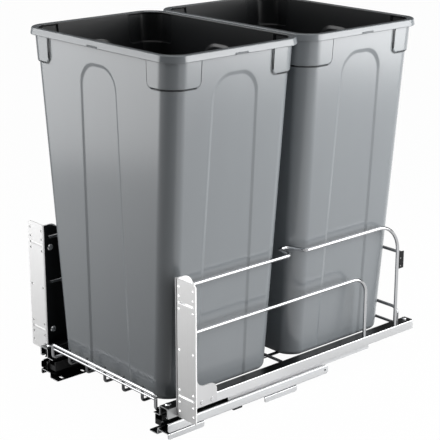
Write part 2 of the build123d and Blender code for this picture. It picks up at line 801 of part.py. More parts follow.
def waste_bin():
    """Moulded bin: tapered shell with sunk arch panels, raised corner pads and a skirted rim."""
    prisms = panel_prisms()
    pad_low = bin_height - rim_skirt - pad_drop - bin_wall
    outside = tapered(0, bin_height)
    outside = fillet(outside.faces().sort_by(Axis.Z)[0].edges(), bin_base_fillet)
    outside -= (outside - tapered(-overrun, bin_height + overrun, -panel_recess)) & prisms
    outside += tapered(pad_low, bin_height, pad_raise) & corner_block()
    cavity = tapered(bin_wall, bin_height + overrun, -bin_wall)
    cavity -= (cavity - tapered(0, bin_height + 2 * overrun, -bin_wall - panel_recess)) & prisms
    cavity += tapered(pad_low, bin_height - rim_land, pad_raise - bin_wall) & corner_block(bin_wall)
    rim_corner = bin_top_corner + (rim_outer_x - bin_top_x) / 2
    rim = Pos(0, 0, bin_height - rim_skirt) * extrude(RectangleRounded(rim_outer_x, rim_outer_y, rim_corner),
                                                      amount=rim_skirt)
    under_x = rim_outer_x - 2 * rim_skirt_wall
    under_y = rim_outer_y - 2 * rim_skirt_wall
    under = RectangleRounded(under_x, under_y, rim_corner - rim_skirt_wall)
    rim -= Pos(0, 0, bin_height - rim_skirt) * extrude(under, amount=rim_skirt - rim_land)
    rim = fillet(rim.faces().sort_by(Axis.Z)[-1].edges(), rim_land / 2)
    notch_height_centre = bin_height - rim_skirt
    rim -= Pos(0, 0, notch_height_centre) * Box(notch_width, 2 * rim_outer_y, 2 * notch_height)
    rim -= Pos(0, 0, notch_height_centre) * Box(2 * rim_outer_x, notch_width, 2 * notch_height)
    return (outside + rim) - cavity


def build():
    """Make and write every node."""
    save_pair("base_rail", base_rail())
    save_pair("front_foot", saddle_foot(0.0))
    save_pair("rear_foot", saddle_foot(rear_foot_front))
    save("foot_rivets", both(foot_rivets()))
    save("rail_support_pads", both(rail_pad()))
    save_pair("soft_close_housing", damper_housing())
    save_pair("damper_cylinder", damper_cylinder())
    save_pair("damper_rod", damper_rod())
    save_pair("soft_close_slider", soft_close_slider())

    save_pair("lower_runner", lower_runner())
    save_pair("middle_rail", middle_rail())
    lower_web = base_rail_bottom + sheet + cage_floor_gap + cage_thickness / 2
    cage, balls = ball_row_parts(sheet, rail_mid_height, lower_cage_front, lower_cage_length,
                                 lower_ball_count, lower_web)
    save_pair("lower_ball_cage", cage)
    save_pair("lower_balls", balls)
    upper_web = channel_top - 2 * sheet - 2 * cage_floor_gap - cage_thickness / 2
    cage, balls = ball_row_parts(drawer_face, middle_mid_height, upper_cage_front, upper_cage_length,
                                 upper_ball_count, upper_web)
    save_pair("upper_ball_cage", cage)
    save_pair("upper_balls", balls)

    save_pair("side_channel", side_channel())
    save_pair("drawer_member", drawer_member())
    save_pair("frame_arm", frame_arm())
    save_pair("door_bracket", door_bracket())
    save("channel_screws", both(channel_screws()))
    save("bracket_screws", both(bracket_screws()))
    save("arm_rivets", both(arm_rivets()))
    save("soft_close_catches", both(soft_close_catch()))

    save_pair("upper_guard_wire", upper_guard())
    save_pair("lower_guard_wire", lower_guard())
    save_pair("rear_clip", rear_clip())
    save("basket_rim_wire", basket_rim())
    first = -floor_wire_pitch * (len(floor_wire_names) - 1) / 2
    for index, name in enumerate(floor_wire_names):
        save(f"floor_wire_{name}", floor_wire_at(first + index * floor_wire_pitch))
    thin_behind = rim_wire - thin_wire / 2
    thin_half = rim_half_width - rim_wire / 2
    front_lower = bar_along_x(thin_wire / 2, -thin_half, thin_half, thin_behind, thin_wire_height)
    save("front_lower_wire", front_lower)
    cross_height = floor_wire_height + floor_wire
    cross_half = rim_half_width + rim_wire / 2
    divider = bar_along_x(floor_wire / 2, -cross_half, cross_half, bin_gap_centre, cross_height)
    save("bin_divider_wire", divider)
    back_behind = rear_leg_behind + floor_wire
    rear_floor = bar_along_x(floor_wire / 2, -cross_half, cross_half, back_behind, cross_height)
    save("rear_floor_wire", rear_floor)
    save("rear_lower_wire", rear_lower_wire())
    upper_half = half_frame - guard_inward - sheet / 2
    rear_upper = bar_along_x(rim_wire / 2, -upper_half, upper_half, rear_wire_behind, rear_upper_wire_height)
    save("rear_upper_wire", rear_upper)

    front_bin_y = front_y + bin_front + rim_outer_y / 2
    moulded = waste_bin()
    save("front_bin", Pos(0, front_bin_y, bin_base) * moulded)
    save("rear_bin", Pos(0, front_bin_y + bin_pitch, bin_base) * moulded)


build()
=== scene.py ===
# %% [markdown]
# # A double pull-out waste unit
#
# This unit is screwed inside a kitchen base cabinet. Two moulded bins stand one behind the other in a
# basket of chromed wire, and the basket rides on two telescopic ball slides. The construction comes from
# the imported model, so every steel piece is already in its place. This lesson gives the pieces their
# finishes, and models the two bins again, because a moulding lives by its soft edges.

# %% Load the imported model
import json
import math

import bmesh
import bpy
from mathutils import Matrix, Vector

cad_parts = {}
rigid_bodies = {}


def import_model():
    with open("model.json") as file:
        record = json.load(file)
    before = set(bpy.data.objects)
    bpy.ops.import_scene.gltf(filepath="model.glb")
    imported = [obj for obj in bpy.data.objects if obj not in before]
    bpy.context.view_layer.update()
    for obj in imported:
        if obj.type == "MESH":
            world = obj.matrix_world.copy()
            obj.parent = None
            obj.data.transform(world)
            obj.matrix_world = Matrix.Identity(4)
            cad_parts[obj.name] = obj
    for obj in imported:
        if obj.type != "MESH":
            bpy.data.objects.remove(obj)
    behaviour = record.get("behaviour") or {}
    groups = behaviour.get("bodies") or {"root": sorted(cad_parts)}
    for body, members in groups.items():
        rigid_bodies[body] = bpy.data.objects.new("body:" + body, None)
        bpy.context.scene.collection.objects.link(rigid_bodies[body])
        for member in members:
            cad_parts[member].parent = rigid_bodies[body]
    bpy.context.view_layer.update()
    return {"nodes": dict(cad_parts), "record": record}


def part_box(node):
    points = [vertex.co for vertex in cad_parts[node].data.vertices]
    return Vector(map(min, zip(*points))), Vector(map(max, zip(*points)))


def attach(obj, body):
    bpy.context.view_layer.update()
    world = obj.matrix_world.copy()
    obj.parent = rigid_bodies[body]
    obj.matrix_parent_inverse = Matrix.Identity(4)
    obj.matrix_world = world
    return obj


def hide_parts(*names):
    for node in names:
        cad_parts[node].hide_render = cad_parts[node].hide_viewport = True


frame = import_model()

nodes = frame["nodes"]

# %% [markdown]
# ## The camera
#
# The picture was taken with a long lens from the front right, a little above the bins. Long parallel edges
# in it meet at three points, and these give the lens, the turn and the tilt. The camera comes first.

# %% Place the camera
MM = 0.001
camera_place = Vector((1.644, -1.485, 0.943))
camera_tilt_down = math.radians(17.3)
camera_turn = math.radians(48.4)
lens_mm = 113.15

camera_data = bpy.data.cameras.new("camera")
camera_data.sensor_width = 36
camera_data.lens = lens_mm
camera = bpy.data.objects.new("camera", camera_data)
bpy.context.scene.collection.objects.link(camera)
camera.location = camera_place
camera.rotation_euler = (math.pi / 2 - camera_tilt_down, 0, camera_turn)
bpy.context.scene.camera = camera
print("camera is", round(camera_place.length, 2), "m from the foot of the unit")

# %% [markdown]
# ## Hands for modelling
#
# Modelling by hand is a round of four moves: add a block, go into edit mode, select some faces or edges,
# and work on them. These small helpers do the same moves from code. A selection is made by a test on each
# face or edge, such as "its middle is near the top", which is what the eye does too.

# %% Helpers for blocks, selections and modifiers
squarely = 0.9  # the least reach of a unit normal along an axis for its face to look that way


def only(piece):
    """Select one piece alone and make it active."""
    bpy.ops.object.select_all(action="DESELECT")
    piece.select_set(True)
    bpy.context.view_layer.objects.active = piece


def block(name, low, high):
    """A cube stretched between two corners in metres, with its place in its mesh."""
    low = Vector(low)
    high = Vector(high)
    bpy.ops.object.select_all(action="DESELECT")
    bpy.ops.mesh.primitive_cube_add(size=1, location=(low + high) / 2, scale=high - low)
    piece = bpy.context.object
    piece.name = name
    bpy.ops.object.transform_apply(location=True, rotation=True, scale=True)
    return piece


def edit(piece):
    """Go into edit mode on one piece, with nothing selected."""
    only(piece)
    bpy.ops.object.mode_set(mode="EDIT")
    bpy.ops.mesh.select_all(action="DESELECT")


def done():
    """Leave edit mode."""
    bpy.ops.object.mode_set(mode="OBJECT")


def pick(piece, kind, test):
    """In edit mode, select the faces or the edges that pass a test, and nothing else."""
    bpy.ops.mesh.select_mode(type=kind)
    bpy.ops.mesh.select_all(action="DESELECT")
    mesh = bmesh.from_edit_mesh(piece.data)
    for item in mesh.faces if kind == "FACE" else mesh.edges:
        item.select_set(test(item))
    bmesh.update_edit_mesh(piece.data)


def pick_faces(piece, test):
    """In edit mode, select the faces that pass a test."""
    pick(piece, "FACE", test)


def pick_edges(piece, test):
    """In edit mode, select the edges whose two ends pass a test."""
    pick(piece, "EDGE", lambda edge: test(edge.verts[0].co, edge.verts[1].co))


def pick_sharp_edges(piece, sharper_than, test):
    """In edit mode, select the edges that fold by more than an angle and whose two ends pass a test."""
    def passes(edge):
        """True if the edge folds enough and both of its ends pass."""
        folds = len(edge.link_faces) == 2 and edge.calc_face_angle() > sharper_than
        return folds and test(edge.verts[0].co) and test(edge.verts[1].co)

    pick(piece, "EDGE", passes)


def apply_modifier(piece, kind, **settings):
    """Add a modifier with its settings, and apply it."""
    modifier = piece.modifiers.new(kind.lower(), kind)
    for name, value in settings.items():
        setattr(modifier, name, value)
    only(piece)
    bpy.ops.object.modifier_apply(modifier=modifier.name)


def combine(piece, tool, operation):
    """Join a tool to a piece, cut it away or keep what they share, and delete the tool."""
    apply_modifier(piece, "BOOLEAN", object=tool, operation=operation, solver="EXACT")
    bpy.data.objects.remove(tool)


def near(value, target, reach=0.2 * MM):
    """True if a length is within reach of a target."""
    return abs(value - target) < reach


# %% [markdown]
# ## The bins: the tapered body
#
# Each bin is one injection moulding in polypropylene. It has to slide off its mould, so it tapers: its left
# and right sides lean out 40 mm over the height, and its front and back 12 mm. It starts as a block of the
# top's size whose bottom face is scaled in. Its four upright edges are then rounded, and after them the edge
# round the base. The upright rounds are a little flatter than a quarter circle, so each mirrors one dark
# band with crisp sides. The same function also makes the thicker and thinner blanks that the corner pads
# need.

# %% Make a tapered blank
rim_low, rim_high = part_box("front_bin")
bin_x = (rim_low.x + rim_high.x) / 2
bin_y = (rim_low.y + rim_high.y) / 2
bin_base = rim_low.z
bin_top = rim_high.z
bin_height = bin_top - bin_base
wall = 2.5 * MM
rim_overhang = Vector((8.0 * MM, 7.0 * MM))
top_half = Vector((rim_high.x - bin_x, rim_high.y - bin_y)) - rim_overhang
taper = Vector((40.0 * MM, 12.0 * MM))
corner_radius = 27 * MM
corner_profile = 0.42
base_radius = 9 * MM
round_steps = 12


def half_size(height, grow=0.0):
    """Half the body's size in x and y at a height, grown outwards."""
    share = (bin_top - height) / bin_height
    return top_half - taper * share + Vector((grow, grow))


def tapered_blank(name, low, high, grow=0.0):
    """A closed tapered block with rounded upright edges, between two heights."""
    above = half_size(high, grow)
    below = half_size(low, grow)
    piece = block(name, (bin_x - above.x, bin_y - above.y, low), (bin_x + above.x, bin_y + above.y, high))
    edit(piece)
    pick_faces(piece, lambda face: face.normal.z < -squarely)
    bpy.ops.transform.resize(value=(below.x / above.x, below.y / above.y, 1))
    pick_edges(piece, lambda a, b: abs(a.z - b.z) > (high - low) / 2)
    bpy.ops.mesh.bevel(offset=corner_radius + grow, segments=round_steps, profile=corner_profile,
                       affect="EDGES")
    done()
    return piece


land = 2.5 * MM
under_land = bin_top - land
body = tapered_blank("front_bin_body", bin_base, under_land)
edit(body)
pick_edges(body, lambda a, b: near(a.z, bin_base) and near(b.z, bin_base))
bpy.ops.mesh.bevel(offset=base_radius, segments=round_steps, affect="EDGES")
done()
print("tapered body:", len(body.data.polygons), "faces")

# %% [markdown]
# ## The bins: the sunk panels
#
# Every side has a panel, sunk 2 mm, that runs from the base to an arch below the rim. It stiffens the wall.
# The cutter is a thin slab whose top is narrower than its foot, with the two top edges rounded wide. Its
# inner face is scaled in, so that the panel's edge is a gentle slope 5 mm wide and not a step. That slope
# mirrors another part of the room than the flat beside it, which is what draws the arch. One cutter is made
# for each side, turned to it and leant by the same angle as the wall.

# %% Cut the panels
panel_foot = 105 * MM
panel_head = 85 * MM
panel_top = bin_height - 37 * MM
panel_arch = 36 * MM
arch_steps = 12
panel_depth = 2.0 * MM
panel_slope = 5.0 * MM
cutter_reach = 1.0 * MM
cutter_overrun = 20 * MM


def panel_cutter():
    """A cutter for one panel, standing on the middle of a wall's foot, with outwards along -Y."""
    spread = panel_slope * (panel_depth + cutter_reach) / panel_depth
    half = (panel_foot + spread) / 2
    high = panel_top + spread / 2
    piece = block("panel", (-half, -cutter_reach, -cutter_overrun), (half, panel_depth, high))
    edit(piece)
    pick_faces(piece, lambda face: face.normal.z > squarely)
    bpy.ops.transform.resize(value=((panel_head + spread) / (panel_foot + spread), 1, 1))
    pick_edges(piece, lambda a, b: min(a.z, b.z) > high / 2 and abs(a.y - b.y) > cutter_reach)
    bpy.ops.mesh.bevel(offset=panel_arch, segments=arch_steps, affect="EDGES")
    pick_faces(piece, lambda face: face.normal.y > squarely)
    bpy.ops.transform.resize(value=(1 - spread / half, 1, 1 - 2 * spread / (high + cutter_overrun)))
    done()
    return piece


def on_side(quarter):
    """Turn, lean and foot of the wall that is so many quarter turns round from the front."""
    foot_half = half_size(bin_base)
    turn = quarter * math.pi / 2
    across = quarter % 2
    lean = math.atan2(taper.x if across else taper.y, bin_height)
    reach = foot_half.x if across else foot_half.y
    foot = Vector((bin_x + reach * math.sin(turn), bin_y - reach * math.cos(turn), bin_base))
    return turn, lean, foot


for quarter in range(4):
    turn, lean, foot = on_side(quarter)
    cutter = panel_cutter()
    cutter.rotation_euler = (lean, 0, turn)
    cutter.location = foot
    combine(body, cutter, "DIFFERENCE")
print("body with panels:", len(body.data.polygons), "faces")

# %% [markdown]
# ## The bins: rim and wall
#
# The rim is a flat land that turns down into a skirt, which hides the raw edge and gives the fingers a
# hold. The closed top is deleted, and its edge is extruded outwards and then down. The wall then gets its
# thickness from a Solidify modifier, which also carries the panels through to the inside, as the mould
# does.

# %% Open the top, draw out the rim and give the wall its thickness
skirt_drop = 11 * MM
skirt_draft = 1.2 * MM

edit(body)
pick_faces(body, lambda face: face.normal.z > squarely and near(face.calc_center_median().z, under_land))
bpy.ops.mesh.delete(type="ONLY_FACE")
pick_edges(body, lambda a, b: near(a.z, under_land) and near(b.z, under_land))
skirt_half = top_half + rim_overhang - Vector((wall, wall))
bpy.ops.mesh.extrude_edges_move()
bpy.ops.transform.resize(value=(skirt_half.x / top_half.x, skirt_half.y / top_half.y, 1))
bpy.ops.mesh.extrude_edges_move()
bpy.ops.transform.translate(value=(0, 0, land - skirt_drop))
bpy.ops.transform.resize(value=(1 + skirt_draft / skirt_half.x, 1 + skirt_draft / skirt_half.y, 1))
done()
apply_modifier(body, "SOLIDIFY", thickness=wall, offset=-1, use_even_offset=True, use_quality_normals=True)
print("shell with rim:", len(body.data.polygons), "faces")

# %% [markdown]
# ## The bins: corner pads
#
# Under the rim each corner is thickened to a pad that stands 3.4 mm proud, with rounded lower corners. The
# inside is hollowed behind it, so the wall stays even, which is what shows as pairs of upright lines inside
# the mouth. A thicker blank is kept only where four corner blocks are, and its outer edges are eased by
# 3 mm, which is what draws each pad's outline. Its inside is cut away, and what is left joins the body. Then
# the same blocks, a wall smaller, hollow the inside.

# %% Add the pads and hollow them
pad_raise = 3.4 * MM
pad_span = 56 * MM
pad_foot = bin_top - skirt_drop - 42 * MM
pad_round = 10 * MM
pad_ease = 3.0 * MM
ease_steps = 3
outline_fold = math.radians(50)
flat_reach = 1 * MM
round_reach = 6 * MM
hollow_skin = 1 * MM
beyond = 20 * MM


def corner_blocks(inset, high):
    """Four blocks at the corners below the rim, each with its two lower inner edges rounded."""
    low = pad_foot + inset
    inner = pad_span - inset
    blocks = []
    for side_x in (-1, 1):
        for side_y in (-1, 1):
            inner_x = bin_x + side_x * (top_half.x - inner)
            inner_y = bin_y + side_y * (top_half.y - inner)
            outer_x = bin_x + side_x * (top_half.x + beyond)
            outer_y = bin_y + side_y * (top_half.y + beyond)
            piece = block("corner", (min(inner_x, outer_x), min(inner_y, outer_y), low),
                          (max(inner_x, outer_x), max(inner_y, outer_y), high))
            edit(piece)
            pick_edges(piece, lambda a, b: near(a.z, low) and near(b.z, low) and (
                (near(a.x, inner_x) and near(b.x, inner_x)) or (near(a.y, inner_y) and near(b.y, inner_y))))
            bpy.ops.mesh.bevel(offset=pad_round - inset, segments=round_steps, affect="EDGES")
            done()
            blocks.append(piece)
    only(blocks[0])
    for piece in blocks[1:]:
        piece.select_set(True)
    bpy.ops.object.join()
    return blocks[0]


pad_top = under_land + land / 2
pads = tapered_blank("pads", pad_foot - beyond, pad_top, pad_raise)
combine(pads, corner_blocks(0, bin_top), "INTERSECT")


def on_pad_face(corner):
    """True if a corner of the pads' mesh lies on their outer face, on a flat or in a flattened round."""
    half = half_size(corner.z, pad_raise)
    deep = Vector((half.x - abs(corner.x - bin_x), half.y - abs(corner.y - bin_y)))
    radius = corner_radius + pad_raise
    if deep.x < radius and deep.y < radius:
        return (Vector((radius, radius)) - deep).length > radius - round_reach
    return min(deep) < flat_reach


edit(pads)
pick_sharp_edges(pads, outline_fold, on_pad_face)
bpy.ops.mesh.bevel(offset=pad_ease, segments=ease_steps, affect="EDGES")
done()
combine(pads, tapered_blank("inside", pad_foot - 2 * beyond, bin_top + beyond, -wall / 2), "DIFFERENCE")
combine(body, pads, "UNION")
hollows = tapered_blank("hollows", pad_foot - beyond, under_land - hollow_skin, pad_raise - wall)
combine(hollows, corner_blocks(wall, bin_top), "INTERSECT")
combine(body, hollows, "DIFFERENCE")
print("body with pads:", len(body.data.polygons), "faces")

# %% [markdown]
# ## The bins: finger notches and soft edges
#
# The skirt has a small notch at the middle of each side, which a lid or the next bin's rim can catch. Then
# comes the step that makes a moulding look moulded: every sharp edge gets a small round, and the normals
# are weighted by area, so that the flats stay flat and only the rounds shade.

# %% Cut the notches and round every edge
notch_width = 24 * MM
notch_height = 3 * MM
edge_round = 1.3 * MM
edge_steps = 2
least_fold = math.radians(10)
for quarter in range(4):
    turn, lean, foot = on_side(quarter)
    notch_low = (-notch_width / 2, -2 * rim_overhang.x, bin_top - skirt_drop - notch_height)
    notch_high = (notch_width / 2, -wall, bin_top - skirt_drop + notch_height)
    notch = block("notch", notch_low, notch_high)
    reach = skirt_half.x if quarter % 2 else skirt_half.y
    notch.rotation_euler = (0, 0, turn)
    notch.location = (bin_x + reach * math.sin(turn), bin_y - reach * math.cos(turn), 0)
    combine(body, notch, "DIFFERENCE")

apply_modifier(body, "BEVEL", width=edge_round, segments=edge_steps, limit_method="ANGLE",
               angle_limit=least_fold, use_clamp_overlap=False)
only(body)
bpy.ops.object.shade_smooth()
apply_modifier(body, "WEIGHTED_NORMAL", weight=100, keep_sharp=False)
print("finished bin:", len(body.data.polygons), "faces")

# %% [markdown]
# ## The second bin
#
# The rear bin is the same moulding. The finished one is copied with its own mesh, moved back to where the
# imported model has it, and its place is applied, so that both objects sit at the origin.

# %% Copy the bin
body.name = "front_bin_moulding"
only(body)
bpy.ops.object.duplicate()
rear_body = bpy.context.object
rear_body.name = "rear_bin_moulding"
rear_body.location.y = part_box("rear_bin")[0].y - rim_low.y
bpy.ops.object.transform_apply(location=True, rotation=True, scale=True)
print("bins:", body.name, rear_body.name)

# %% [markdown]
# ## Tools for the finishes
#
# Materials are small networks of nodes. One function adds a node with its settings and its links, and one
# turns a colour written as on a paint chart into the linear numbers that the shader wants. Patterns are
# given in millimetres.

# %% Helpers for materials
ALONG_Y, ALONG_Z = 1, 2
WHITE = (1.0, 1.0, 1.0, 1.0)


def linear(chart):
    """A colour written as six hexadecimal digits, as linear red, green, blue and alpha."""
    channels = [int(chart[index:index + 2], 16) / 255 for index in (0, 2, 4)]
    bent = [c / 12.92 if c <= 0.04045 else ((c + 0.055) / 1.055) ** 2.4 for c in channels]
    return (*bent, 1.0)


def add(tree, kind, inputs=None, **settings):
    """Add a node, set its own settings, and fill its inputs with values or with other nodes' outputs."""
    node = tree.nodes.new(kind)
    for name, value in settings.items():
        setattr(node, name, value)
    for name, value in (inputs or {}).items():
        if isinstance(value, bpy.types.NodeSocket):
            tree.links.new(value, node.inputs[name])
        else:
            node.inputs[name].default_value = value
    return node


def finish_named(name):
    """A new material with an empty network and its output."""
    material = bpy.data.materials.new(name)
    material.use_nodes = True
    material.node_tree.nodes.clear()
    output = add(material.node_tree, "ShaderNodeOutputMaterial")
    return material, material.node_tree, output


def per_mm(size):
    """Scale of a noise whose grains are so many millimetres across."""
    return 1 / (size * MM)


def stretched(tree, along, across, axis):
    """Object coordinates scaled so that a noise runs in streaks along one axis; sizes in millimetres."""
    place = add(tree, "ShaderNodeTexCoord")
    scale = [per_mm(across)] * 3
    scale[axis] = per_mm(along)
    return add(tree, "ShaderNodeMapping", {"Vector": place.outputs["Object"], "Scale": scale})


# %% [markdown]
# ## Moulded polypropylene
#
# The outside is a mid grey polypropylene with the soft gloss of a smooth mould, so it mirrors the room in
# broad shapes. Its grain is a fraction of a millimetre, too fine to show, so it is drawn at about a
# millimetre. A slow change of tone follows the flow of the melt. The inside is painted nearly black and
# duller, as the shade inside the bin.

# %% Plastic finishes
def moulded_plastic(name, colour, shade, roughness, shine=0.5, spread=0.04, grain=1.1, grain_height=0.02):
    """Injection-moulded plastic: slow flow tones, a fine grain and an even gloss. Grain in millimetres."""
    material, tree, output = finish_named(name)
    streaks = stretched(tree, along=220, across=70, axis=ALONG_Z)
    flow = add(tree, "ShaderNodeTexNoise", {"Vector": streaks.outputs["Vector"], "Scale": 1.0, "Detail": 2.0})
    tone = add(tree, "ShaderNodeMix",
               {"Factor": flow.outputs["Fac"], "A": linear(colour), "B": linear(shade)}, data_type="RGBA")
    place = add(tree, "ShaderNodeTexCoord")
    fine = add(tree, "ShaderNodeTexNoise",
               {"Vector": place.outputs["Object"], "Scale": per_mm(grain), "Detail": 3.0})
    rough = add(tree, "ShaderNodeMapRange",
                {"Value": fine.outputs["Fac"], "To Min": roughness - spread, "To Max": roughness + spread})
    bump = add(tree, "ShaderNodeBump",
               {"Height": fine.outputs["Fac"], "Strength": 0.25, "Distance": grain_height * MM})
    shader = add(tree, "ShaderNodeBsdfPrincipled",
                 {"Base Color": tone.outputs["Result"], "Roughness": rough.outputs["Result"],
                  "IOR": 1.49, "Specular IOR Level": shine, "Normal": bump.outputs["Normal"]})
    tree.links.new(shader.outputs["BSDF"], output.inputs["Surface"])
    return material


grey_polypropylene = moulded_plastic("grey_moulded_polypropylene", "7e8386", "7a7e82", roughness=0.20,
                                     shine=0.8)
painted_shade_polypropylene = moulded_plastic("moulded_polypropylene_painted_shade", "1c1e20", "191a1b", roughness=0.30,
                                     shine=0.4)
black_nylon = moulded_plastic("black_moulded_nylon", "151617", "101112", roughness=0.38)
print("plastics:", grey_polypropylene.name, painted_shade_polypropylene.name, black_nylon.name)

# %% [markdown]
# ## Steel, bright and satin
#
# The wires are drawn steel, bright chromed, so they mirror their surroundings; those of the basket's floor,
# between the bins and behind them get a darker chrome as painted shade. The channels are rolled strip, and
# their faint lines are streaks of noise drawn out along the length. The brackets and arms are satin and
# brushed upright; the brackets are light, and the arms a little darker as painted shade.
# The rails and feet are zinc plated. Real rolling and brushing lines are a few hundredths of a millimetre
# wide, too fine to show, so they are drawn about a millimetre wide. A plating with a passive film or a matt
# grain scatters part of the light like paint does, which is why the sheets aren't fully metallic: it is what
# makes them near white.

# %% Metal finishes
def plated_steel(name, tint, roughness, spread=0.04, streak=(160, 0.9), axis=ALONG_Y, line_height=0.01,
                 metallic=1.0):
    """Plated or polished steel with lines along one axis: streak is their length and width in mm."""
    material, tree, output = finish_named(name)
    streaks = stretched(tree, *streak, axis)
    lines = add(tree, "ShaderNodeTexNoise",
                {"Vector": streaks.outputs["Vector"], "Scale": 1.0, "Detail": 4.0})
    rough = add(tree, "ShaderNodeMapRange",
                {"Value": lines.outputs["Fac"], "To Min": roughness - spread, "To Max": roughness + spread})
    bump = add(tree, "ShaderNodeBump",
               {"Height": lines.outputs["Fac"], "Strength": 0.2, "Distance": line_height * MM})
    dulled = add(tree, "ShaderNodeMix",
                 {"Factor": lines.outputs["Fac"], "A": linear(tint[0]), "B": linear(tint[1])},
                 data_type="RGBA")
    shader = add(tree, "ShaderNodeBsdfPrincipled",
                 {"Base Color": dulled.outputs["Result"], "Roughness": rough.outputs["Result"],
                  "Metallic": metallic, "Normal": bump.outputs["Normal"]})
    tree.links.new(shader.outputs["BSDF"], output.inputs["Surface"])
    return material


# Chrome: a dark and light mirror, with hardly any roughness; the darker copy is painted shade.
drawn = {"spread": 0.02, "streak": (40, 2.0), "line_height": 0.002}
bright_chrome = plated_steel("bright_chromed_wire", ("c9cacc", "bfc0c2"), roughness=0.06, **drawn)
painted_shade_chrome = plated_steel("chromed_wire_painted_shade", ("8d8e90", "838486"), roughness=0.12, **drawn)
# Strip and sheet: pale and even, with soft highlights.
brushed = {"spread": 0.05, "streak": (90, 1.2), "axis": ALONG_Z}
polished_strip = plated_steel("polished_steel_strip", ("d7d8d9", "cdcecf"), roughness=0.30, metallic=0.5)
satin_sheet = plated_steel("satin_steel_sheet", ("f3f3f3", "ededed"), roughness=0.50, metallic=0.55,
                           **brushed)
# The arms' sheet is a darker copy of the satin sheet, as painted shade.
painted_shade_arm_sheet = plated_steel("satin_steel_arm_painted_shade", ("cbcbcc", "c3c3c4"), roughness=0.40, metallic=0.3, **brushed)
zinc_rail = plated_steel("zinc_plated_rail", ("dcddde", "d2d4d6"), roughness=0.32, metallic=0.25)
# Near-black steel with a grey sheen at the folds: the clips' own finish, and painted shade on inward faces.
dark_steel_and_painted_shade = plated_steel("near_black_steel_and_painted_shade", ("2a2b2c", "1e1f20"), roughness=0.30, metallic=0.8)
# The small inner pieces: oiled cages, bright balls and tubes, zinc plated screws.
greased_cage = plated_steel("oiled_cage_steel", ("9a9b9c", "858687"), roughness=0.35)
ball_finish = plated_steel("polished_bearing_steel", ("e2e3e4", "dcdddf"), roughness=0.08, spread=0.02,
                           streak=(3, 3))
damper_finish = plated_steel("bright_damper_tube", ("e6e7e8", "dadbdd"), roughness=0.14, spread=0.03,
                             streak=(30, 1.5))
screw_finish = plated_steel("zinc_plated_screw", ("d9dadb", "cbccce"), roughness=0.26, spread=0.05,
                            streak=(2, 1))
print("metals made")

# %% [markdown]
# ## Dress the imported pieces
#
# The record names the stock that each imported piece is made of. A table from stock to finish dresses them
# all, and a few pieces then get a finish of their own: the clips a near-black steel, and the arms and some
# wires a darker copy of their finish as painted shade.

# %% Give every imported piece its finish
finish_of_slot = {
    "bin_plastic": grey_polypropylene,
    "chromed_wire": bright_chrome,
    "channel_steel": polished_strip,
    "bracket_steel": satin_sheet,
    "rail_steel": zinc_rail,
    "cage_steel": greased_cage,
    "ball_steel": ball_finish,
    "damper_steel": damper_finish,
    "screw_steel": screw_finish,
    "black_plastic": black_nylon,
}
slot_of_node = {part["node"]: part["material_slot"] for part in frame["record"]["subparts"]}


def dress(piece, *finishes):
    """Give a piece these finishes and no others."""
    piece.data.materials.clear()
    for finish in finishes:
        piece.data.materials.append(finish)


finish_of_node = {name: finish_of_slot[slot_of_node[name]] for name in nodes}
for name in nodes:
    # The arms get the darker copy of the sheet as painted shade.
    if name.endswith("_frame_arm"):
        finish_of_node[name] = painted_shade_arm_sheet
    if name.endswith("_rear_clip"):
        finish_of_node[name] = dark_steel_and_painted_shade
    # The floor, rear and divider wires get the darker chrome as painted shade.
    if name.startswith(("floor_wire", "rear_", "bin_divider")) and slot_of_node[name] == "chromed_wire":
        finish_of_node[name] = painted_shade_chrome
for name, node in nodes.items():
    dress(node, finish_of_node[name])
print("dressed:", len(nodes))

# %% [markdown]
# ## Painted shade on the inner faces
#
# In the photo all steel that faces the bins is nearly black: the inner faces of the arms, the tops of the
# channels and feet, and everything in the slides but their outer sides. These faces get a near-black steel
# as painted shade for the dark that they mirror, and the inner half of the guard wires a darker chrome as
# painted shade. They are found by where they look, and in the slides also by how deep they lie.

# %% Paint shade on the faces that look inwards
clearly = 0.6
skin = 3 * MM
painted_shade_tops = ("_side_channel", "_front_foot", "_rear_foot")
painted_shade_slides = ("_base_rail", "_middle_rail", "_lower_runner", "_drawer_member")
painted_shade_pieces = [name for name in nodes
               if name.endswith(("_frame_arm", "_guard_wire") + painted_shade_tops + painted_shade_slides)]
for name in painted_shade_pieces:
    piece = nodes[name]
    dress(piece, finish_of_node[name], painted_shade_chrome if name.endswith("_wire") else dark_steel_and_painted_shade)
    low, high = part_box(name)
    side = math.copysign(1, low.x + high.x)
    outer = max(abs(low.x), abs(high.x))
    for face in piece.data.polygons:
        looks_in = face.normal.x * side < -clearly
        looks_up = name.endswith(painted_shade_tops) and face.normal.z > clearly
        lies_deep = name.endswith(painted_shade_slides) and abs(face.center.x) < outer - skin
        # Faces that look in or up, or lie deep, take the dark finish as painted shade.
        face.material_index = 1 if looks_in or looks_up or lies_deep else 0
print("dark inside:", painted_shade_pieces)

# %% [markdown]
# ## Painted shade inside the bins
#
# Outside and rim are grey, and the inside is painted charcoal as shade. The line between them lies at the
# inner edge of the land. A face belongs to the inside if it looks inwards, or if it lies past the wall's
# middle and doesn't look outwards or down.

# %% Colour the bins and set them on their bodies
rim_band = 0.9 * MM
pad_middle = 0.55 * wall
wall_middle = 0.6 * wall
slightly = 0.2


